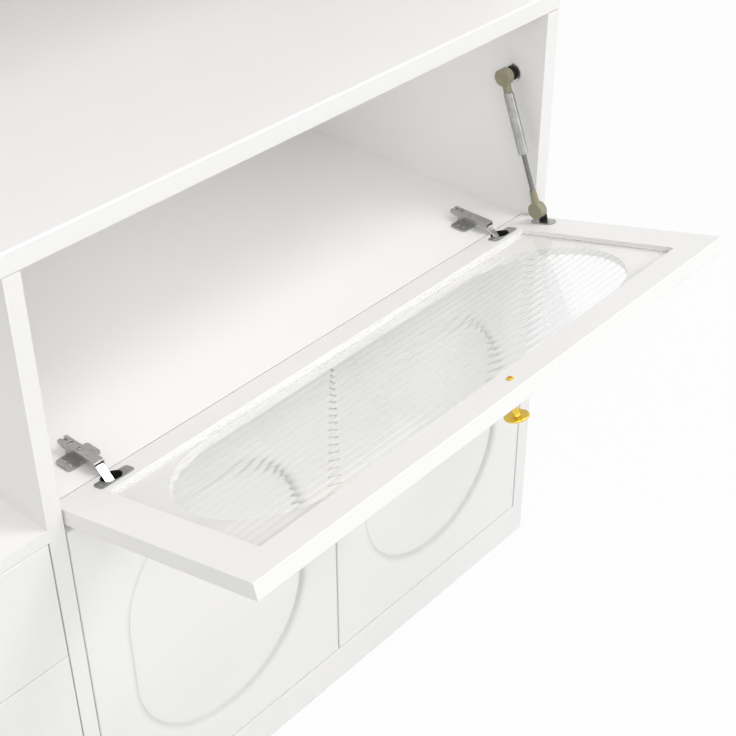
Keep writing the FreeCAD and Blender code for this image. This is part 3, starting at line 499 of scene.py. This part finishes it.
# %% [markdown]
# The cup of a concealed hinge is a steel pot that holds a black nylon insert, and what one sees of it is a
# dark round hollow with the link going down into it. The insert is a thin pot again, spun on the
# lathe and set into the steel one. The doors have the same hinges as the flap, only with wider cups. Their
# places follow from the joints: each door turns about the pin in its cups. A door opens so far that its
# links lie down over the rims of the cups, so the inserts of the doors end below the rim.

# %% Inserts in the hinge cups
CUP_WALL, CUP_DEPTH, INSERT_WALL = 0.9 * MM, 13 * MM, 0.3 * MM
FLAP_INSERT_TOP, DOOR_INSERT_TOP = 0.8 * MM, -0.45 * MM
FLAP_CUP_RADIUS, FLAP_CUP_PLACE = 13 * MM, 17 * MM
DOOR_CUP_RADIUS, DOOR_CUP_PLACE, DOOR_HINGE_INSET = 17.5 * MM, 21 * MM, 80 * MM
DOOR_PIN_ALONG, DOOR_PIN_DEEP = 12 * MM, 10 * MM
PLATE_HALF = 22.2 * MM
FLANGE_OFFSET, FLANGE_THICK = 4.7 * MM, 1.2 * MM
plate_low, plate_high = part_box("flap_hinge_plates")
hinge_places = [plate_low.x + PLATE_HALF, plate_high.x - PLATE_HALF]


def insert_profile(radius, top):
    outer = radius - CUP_WALL
    inner = outer - INSERT_WALL
    return [(0, -CUP_DEPTH), (outer, -CUP_DEPTH), (outer, top), (inner, top),
            (inner, INSERT_WALL - CUP_DEPTH), (0, INSERT_WALL - CUP_DEPTH)]


cups, door_flanges = [], []
for number, x in enumerate(hinge_places, start=1):
    profile = insert_profile(FLAP_CUP_RADIUS, FLAP_INSERT_TOP)
    cups.append((f"flap_{number}", "flap", on_flap(x, FLAP_CUP_PLACE, 0), above_way, profile))
for door in DOORS:
    pin = pin_of_joint[door + "_door_swing"]
    inward = 1 if "left" in door else -1
    low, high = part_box(door + "_door")
    profile = insert_profile(DOOR_CUP_RADIUS, DOOR_INSERT_TOP)
    for number, z in enumerate((low.z + DOOR_HINGE_INSET, high.z - DOOR_HINGE_INSET), start=1):
        centre = Vector((pin.x + inward * (DOOR_CUP_PLACE - DOOR_PIN_ALONG), pin.y + DOOR_PIN_DEEP, z))
        cups.append((f"{door}_{number}", door + "_door_leaf", centre, Vector((0, 1, 0)), profile))
        shift = Vector((inward * FLANGE_OFFSET, FLANGE_THICK, 0))
        door_flanges.append((door + "_door_leaf", centre + shift))
for name, body, centre, axis, profile in cups:
    dress(spin("cup_insert_" + name, profile, centre, axis, black), body)
print("cup inserts:", len(cups))

# %% [markdown]
# Small screws hold the hinges: two in each wing of a mounting plate, two in a cup's flange, an
# adjusting screw on the arm and a clamp screw under the fork at its back. Those in the flap's flanges are
# sunk, because the closed flap comes close to the bay's floor. What makes a screw read as one,
# even at a few pixels, is its rim and the cross in its middle. The head is built ring by ring, and the
# flat top is filled between the last ring and the outline of the cross, whose walls go down to a floor.

# %% Screws
CROSS_REACH, CROSS_HALF, CROSS_DEPTH = 0.55, 0.16, 0.7
HEAD_WALL, HEAD_TOP = 0.5, 0.84
SCREW_STEPS, SCREW_SHARP = 28, 35


def screw(name, centre, axis, radius, height, material):
    turn = Vector((0, 0, 1)).rotation_difference(axis).to_matrix().to_4x4()
    place = Matrix.Translation(centre) @ turn
    work = bmesh.new()

    def ring(size, level):
        angles = [2 * math.pi * i / SCREW_STEPS for i in range(SCREW_STEPS)]
        points = [Vector((size * math.cos(a), size * math.sin(a), level)) for a in angles]
        return [work.verts.new(place @ point) for point in points]

    def wall(lower, upper):
        for i in range(len(lower)):
            j = (i + 1) % len(lower)
            work.faces.new((lower[i], lower[j], upper[j], upper[i]))

    def cross(level):
        long, half = radius * CROSS_REACH, radius * CROSS_HALF
        corners = []
        for quarter in range(4):
            c, s = round(math.cos(quarter * math.pi / 2)), round(math.sin(quarter * math.pi / 2))
            for x, y in ((long, -half), (long, half), (half, half)):
                corners.append(work.verts.new(place @ Vector((c * x - s * y, s * x + c * y, level))))
        return corners

    rings = [ring(radius, 0), ring(radius, height * HEAD_WALL), ring(radius * HEAD_TOP, height)]
    for lower, upper in zip(rings, rings[1:]):
        wall(lower, upper)
    mouth, bottom = cross(height), cross(height * (1 - CROSS_DEPTH))
    rims = []
    for loop in (rings[-1], mouth):
        for i in range(len(loop)):
            start, end = loop[i], loop[(i + 1) % len(loop)]
            rims.append(work.edges.get((start, end)) or work.edges.new((start, end)))
    bmesh.ops.triangle_fill(work, edges=rims, use_beauty=True)
    wall(bottom, mouth)
    work.faces.new(bottom)
    work.faces.new(rings[0])
    return smooth_piece(name, work, bpy.data.meshes.new(name), material, SCREW_SHARP)


SCREW_RADIUS, SCREW_HEIGHT = 2.6 * MM, 1.0 * MM
WING_MIDDLE, WING_SPREAD, WING_THICK = 14.2 * MM, 4.8 * MM, 2.5 * MM
FLAP_FLANGE_SPREAD, DOOR_FLANGE_SPREAD, SUNK = 17.8 * MM, 19.5 * MM, 0.8 * MM
ARM_SCREW_BACK, FORK_SCREW_BACK, ARM_WALL = 33 * MM, 57.7 * MM, 1.1 * MM
UPWARD = Vector((0, 0, 1))
arm_low, arm_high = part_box("flap_hinge_arms")
plate_middle = (plate_low.y + plate_high.y) / 2
screws = []
for x in hinge_places:
    for side in (-1, 1):
        for step in (-1, 1):
            y, z = plate_middle + step * WING_SPREAD, plate_low.z + WING_THICK
            screws.append(("carcass", Vector((x + side * WING_MIDDLE, y, z)), UPWARD))
        along = FLAP_CUP_PLACE + FLANGE_OFFSET
        spot = on_flap(x + side * FLAP_FLANGE_SPREAD, along, FLANGE_THICK - SUNK)
        screws.append(("flap", spot, above_way))
    screws.append(("carcass", Vector((x, arm_low.y + ARM_SCREW_BACK, arm_high.z)), UPWARD))
    under_fork = arm_high.z - ARM_WALL - SCREW_HEIGHT
    screws.append(("carcass", Vector((x, arm_low.y + FORK_SCREW_BACK, under_fork)), UPWARD))
for body, middle in door_flanges:
    for side in (-1, 1):
        screws.append((body, middle + UPWARD * side * DOOR_FLANGE_SPREAD, Vector((0, 1, 0))))
for number, (body, spot, axis) in enumerate(screws, start=1):
    head = screw(f"hinge_screw_{number}", spot, axis, SCREW_RADIUS, SCREW_HEIGHT, nickel)
    dress(head, body)
print("screws:", len(screws))

# %% [markdown]
# The strut's rod isn't polished like its tube. It looks like steel ground on a slant: fine lines cross
# it and it is dark beside the tube. Such lines are a wave that goes up and down evenly: measure the
# place along a slanted direction, count it in half periods, and fold the count back and forth between
# 0 and 1. That number picks a tone between two greys.

# %% Ground rod
HATCH_PERIOD = 1.9 * MM
HATCH_SLANT = math.radians(50)


def make_hatched(name, axis, low, high):
    material, tree, shader = new_finish(name)
    shader.inputs["Metallic"].default_value = 1.0
    slanted = axis * math.cos(HATCH_SLANT) + Vector((1, 0, 0)) * math.sin(HATCH_SLANT)
    place = tree.nodes.new("ShaderNodeTexCoord")
    measure = tree.nodes.new("ShaderNodeVectorMath")
    measure.operation = "DOT_PRODUCT"
    measure.inputs[1].default_value = slanted * (2 / HATCH_PERIOD)
    fold = tree.nodes.new("ShaderNodeMath")
    fold.operation = "PINGPONG"
    fold.inputs[1].default_value = 1.0
    tree.links.new(place.outputs["Object"], measure.inputs[0])
    tree.links.new(measure.outputs["Value"], fold.inputs[0])
    add_tones(tree, fold, shader, low, high)
    add_roughness(tree, add_noise(tree, 160.0), shader, 0.28, 0.38)
    return material


stud_low, stud_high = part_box("strut_wall_stud")
stud_middle = Vector((0, stud_low.y + stud_high.y, stud_low.z + stud_high.z)) / 2
rod_low, rod_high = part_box("strut_rod")
rod_middle = Vector((0, rod_low.y + rod_high.y, rod_low.z + rod_high.z)) / 2
strut_way = (stud_middle - rod_middle).normalized()
ground = make_hatched("ground_steel", strut_way, (0.10, 0.10, 0.095), (0.34, 0.34, 0.33))
nodes["strut_rod"].data.materials[0] = ground
print("rod leans", round(math.degrees(math.atan2(strut_way.y, strut_way.z)), 1), "degrees")

# %% [markdown]
# Three black details make the fittings read from a distance. The stud on the side panel has a black washer
# with a collar inside its bright rim. A dark line runs over each flap link at the nose of the arm: that is
# shade in the gap, painted by a thin black sleeve on the link's eye. And the ear of the strut's bracket,
# but not its foot, is black: only some faces of that solid get a second material.

# %% Black details
WASHER_RADIUS, WASHER_THICK, COLLAR_RADIUS, COLLAR_HEIGHT = 9.6 * MM, 0.5 * MM, 4.4 * MM, 1.2 * MM
STUD_BASE = 3 * MM
LINK_EYE, LINK_HALF, SHADE_SLEEVE_THICK = 2.4 * MM, 4.8 * MM, 0.25 * MM
SHADE_SLEEVE_START, SHADE_SLEEVE_END, SHADE_SLEEVE_STEPS = math.radians(20), math.radians(185), 14
BRACKET_FOOT = 2.3 * MM

washer_profile = [(0, 0), (WASHER_RADIUS, 0), (WASHER_RADIUS, WASHER_THICK * 0.5),
                  (WASHER_RADIUS - WASHER_THICK, WASHER_THICK),
                  (COLLAR_RADIUS + WASHER_THICK, WASHER_THICK),
                  (COLLAR_RADIUS, COLLAR_HEIGHT), (0, COLLAR_HEIGHT)]
washer_centre = Vector((stud_high.x - STUD_BASE, stud_middle.y, stud_middle.z))
dress(spin("stud_washer", washer_profile, washer_centre, Vector((-1, 0, 0)), black), "carcass")

arm_pin = pin_of_joint["flap_link_swing"]
# The black sleeve over each link's eye is painted shade: it stands for the shadow in the gap between arm and link.
shade_sleeve = []
for radius, order in ((LINK_EYE, 1), (LINK_EYE + SHADE_SLEEVE_THICK, -1)):
    for step in range(SHADE_SLEEVE_STEPS + 1)[::order]:
        angle = SHADE_SLEEVE_START + (SHADE_SLEEVE_END - SHADE_SLEEVE_START) * step / SHADE_SLEEVE_STEPS
        shade_sleeve.append((arm_pin.y + radius * math.cos(angle), arm_pin.z + radius * math.sin(angle)))
for number, x in enumerate(hinge_places, start=1):
    shade_cover = sweep_across(f"link_shade_sleeve_{number}", shade_sleeve, x - LINK_HALF, x + LINK_HALF, black,
                         spot=lambda *point: Vector(point))
    dress(shade_cover, "flap_link_pair")

bracket = nodes["strut_bracket"]
bracket.data.materials.append(black)
ear_faces = [f for f in bracket.data.polygons if (f.center - flap_corner).dot(above_way) > BRACKET_FOOT]
for face in ear_faces:
    face.material_index = 1
print("black: washer,", len(hinge_places), "sleeves,", len(ear_faces), "faces of the bracket")

# %% [markdown]
# The floor is a plain pale sheet. A product picture wants it white without flooding the cabinet with
# light, so its material looks at what kind of ray asks: rays from the camera, and those that come by way
# of a shiny surface, see a good part of plain white, and all other rays see an ordinary pale diffuse
# floor. The shadow of the cabinet stays, only softer. The world does the same for the background. Its
# light comes more from the room in front of the cabinet than from the wall behind it, so its strength
# fades with the Y of the direction.

# %% Floor and background
FLOOR_SIZE, FLOOR_DROP, FLOOR_ROUGH = 14.0, 0.5 * MM, 0.9
FLOOR_WHITE = 0.95
FRONT_LIGHT, BACK_LIGHT, FADE_REACH = 0.77, 0.58, 0.4


def seen_by(tree, kinds):
    """1 for rays of the named kinds, 0 for all others, such as light on its way."""
    path = tree.nodes.new("ShaderNodeLightPath")
    seen = path.outputs[kinds[0]]
    for kind in kinds[1:]:
        either = tree.nodes.new("ShaderNodeMath")
        either.operation = "MAXIMUM"
        tree.links.new(seen, either.inputs[0])
        tree.links.new(path.outputs[kind], either.inputs[1])
        seen = either.outputs[0]
    return seen


floor_finish, floor_tree, floor_shader = new_finish("pale_floor")
add_tones(floor_tree, add_noise(floor_tree, 2.0), floor_shader, (0.71, 0.71, 0.705), (0.74, 0.74, 0.735))
floor_shader.inputs["Roughness"].default_value = FLOOR_ROUGH
floor_glow = floor_tree.nodes.new("ShaderNodeEmission")
floor_share = floor_tree.nodes.new("ShaderNodeMath")
floor_share.operation = "MULTIPLY"
floor_share.inputs[1].default_value = FLOOR_WHITE
floor_mix = floor_tree.nodes.new("ShaderNodeMixShader")
floor_tree.links.new(seen_by(floor_tree, ("Is Camera Ray", "Is Glossy Ray")), floor_share.inputs[0])
floor_tree.links.new(floor_share.outputs[0], floor_mix.inputs["Fac"])
floor_tree.links.new(floor_shader.outputs[0], floor_mix.inputs[1])
floor_tree.links.new(floor_glow.outputs[0], floor_mix.inputs[2])
floor_tree.links.new(floor_mix.outputs[0], floor_tree.nodes["Material Output"].inputs["Surface"])

half = FLOOR_SIZE / 2
floor_mesh = bpy.data.meshes.new("studio_floor")
floor_corners = [(-half, -half, 0), (half, -half, 0), (half, half, 0), (-half, half, 0)]
floor_mesh.from_pydata(floor_corners, [], [(0, 1, 2, 3)])
floor_mesh.materials.append(floor_finish)
floor = bpy.data.objects.new("studio_floor", floor_mesh)
floor.location.z = -FLOOR_DROP
bpy.context.scene.collection.objects.link(floor)

world = bpy.data.worlds.new("studio_world")
world.use_nodes = True
bpy.context.scene.world = world
world_tree = world.node_tree
world_light = world_tree.nodes["Background"]
world_light.inputs["Color"].default_value = (0.97, 0.985, 1.0, 1)
towards = world_tree.nodes.new("ShaderNodeTexCoord")
parts = world_tree.nodes.new("ShaderNodeSeparateXYZ")
fade = world_tree.nodes.new("ShaderNodeMapRange")
fade.inputs["From Min"].default_value = -FADE_REACH
fade.inputs["From Max"].default_value = FADE_REACH
fade.inputs["To Min"].default_value = FRONT_LIGHT
fade.inputs["To Max"].default_value = BACK_LIGHT
world_tree.links.new(towards.outputs["Generated"], parts.inputs["Vector"])
world_tree.links.new(parts.outputs["Y"], fade.inputs["Value"])
world_tree.links.new(fade.outputs["Result"], world_light.inputs["Strength"])
world_seen = world_tree.nodes.new("ShaderNodeBackground")
world_mix = world_tree.nodes.new("ShaderNodeMixShader")
in_sight = seen_by(world_tree, ("Is Camera Ray", "Is Glossy Ray", "Is Transmission Ray"))
world_tree.links.new(in_sight, world_mix.inputs["Fac"])
world_tree.links.new(world_light.outputs[0], world_mix.inputs[1])
world_tree.links.new(world_seen.outputs[0], world_mix.inputs[2])
world_tree.links.new(world_mix.outputs[0], world_tree.nodes["World Output"].inputs["Surface"])
world_seen.inputs["Color"].default_value = (1, 1, 1, 1)
print("floor and background are set, light from", FRONT_LIGHT, "in front to", BACK_LIGHT, "behind")

# %% [markdown]
# Five lamps, as a photographer would set them for white furniture. The key stands high in front and to the
# right: its soft shadow of the counter's edge falls on the floor behind the flap, and the flap's own
# shadow falls to the left. It is far away, so that the hutch gets hardly more of it than the counter does.
# A large soft side lamp, low on the right, adds a little to the fronts, and a weak fill by the camera
# lifts the faces that look to the left. The last two are thin and weak light panels under the counter, out
# of sight, one in the bay and one in the niche, because a deep white box gets little light from the room.

# %% Lamps
def add_lamp(name, place, target, size, power, colour=(1, 1, 1)):
    data = bpy.data.lights.new(name, "AREA")
    data.shape = "DISK"
    data.size = size
    data.energy = power
    data.color = colour
    lamp = bpy.data.objects.new(name, data)
    lamp.location = place
    lamp.rotation_euler = (Vector(target) - Vector(place)).to_track_quat("-Z", "Y").to_euler()
    bpy.context.scene.collection.objects.link(lamp)
    return lamp


KEY_POWER, SIDE_POWER, FILL_POWER, PANEL_POWER, NICHE_POWER = 67, 4, 7, 0.34, 0.22
PANEL_WIDTH, PANEL_BACK, PANEL_DROP, PANEL_SHORT = 0.32, -0.26, 10 * MM, 60 * MM

key = add_lamp("key_lamp", (1.75, -2.7, 4.75), (0.1, -0.5, 0.6), 1.8, KEY_POWER, (1.0, 0.99, 0.97))
side = add_lamp("side_lamp", (1.6, -2.2, 1.3), (0.1, -0.4, 0.5), 1.6, SIDE_POWER)
fill = add_lamp("fill_lamp", (-0.9, -1.8, 1.8), (0.1, -0.4, 0.6), 1.2, FILL_POWER)
panels = []
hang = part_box("countertop")[0].z - PANEL_DROP
for name, power in (("bay_floor", PANEL_POWER), ("niche_floor", NICHE_POWER)):
    low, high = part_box(name)
    middle = (low.x + high.x) / 2
    long = high.x - low.x - PANEL_SHORT
    panel = add_lamp(name + "_panel", (middle, PANEL_BACK, hang), (middle, PANEL_BACK, 0), long, power)
    panel.data.shape = "RECTANGLE"
    panel.data.size_y = PANEL_WIDTH
    panels.append(panel)
print("lamps:", [(lamp.name, lamp.data.energy) for lamp in [key, side, fill] + panels])

# %% [markdown]
# The camera stands where the photographer stood. A camera is known by where it is, where it looks,
# how much it is tilted about its own axis and how long its lens is. These numbers were fitted to straight
# edges of the picture. The small shift says that the picture's middle isn't exactly on the lens axis, as
# happens when a picture is cropped.

# %% Camera
CAMERA_PLACE = Vector((-0.83196, -1.46288, 1.53543))
YAW, PITCH, ROLL = (math.radians(v) for v in (49.047, -35.815, 0.208))
SENSOR, LENS, FAR_ENOUGH = 36.0, 70.26, 100
SHIFT = (-0.0269, 0.0073)

forward = Vector((math.sin(YAW) * math.cos(PITCH), math.cos(YAW) * math.cos(PITCH), math.sin(PITCH)))
level_right = forward.cross(Vector((0, 0, 1))).normalized()
level_up = level_right.cross(forward)
right = level_right * math.cos(ROLL) + level_up * math.sin(ROLL)
up = level_up * math.cos(ROLL) - level_right * math.sin(ROLL)
camera_data = bpy.data.cameras.new("photo_camera")
camera_data.sensor_width = SENSOR
camera_data.lens = LENS
camera_data.shift_x, camera_data.shift_y = SHIFT
camera_data.clip_end = FAR_ENOUGH
camera = bpy.data.objects.new("photo_camera", camera_data)
axes = Matrix((right, up, -forward)).transposed().to_4x4()
camera.matrix_world = Matrix.Translation(CAMERA_PLACE) @ axes
bpy.context.scene.collection.objects.link(camera)
bpy.context.scene.camera = camera
bpy.context.scene.view_settings.view_transform = "Standard"
print("camera at", [round(v, 3) for v in CAMERA_PLACE], "lens", LENS)
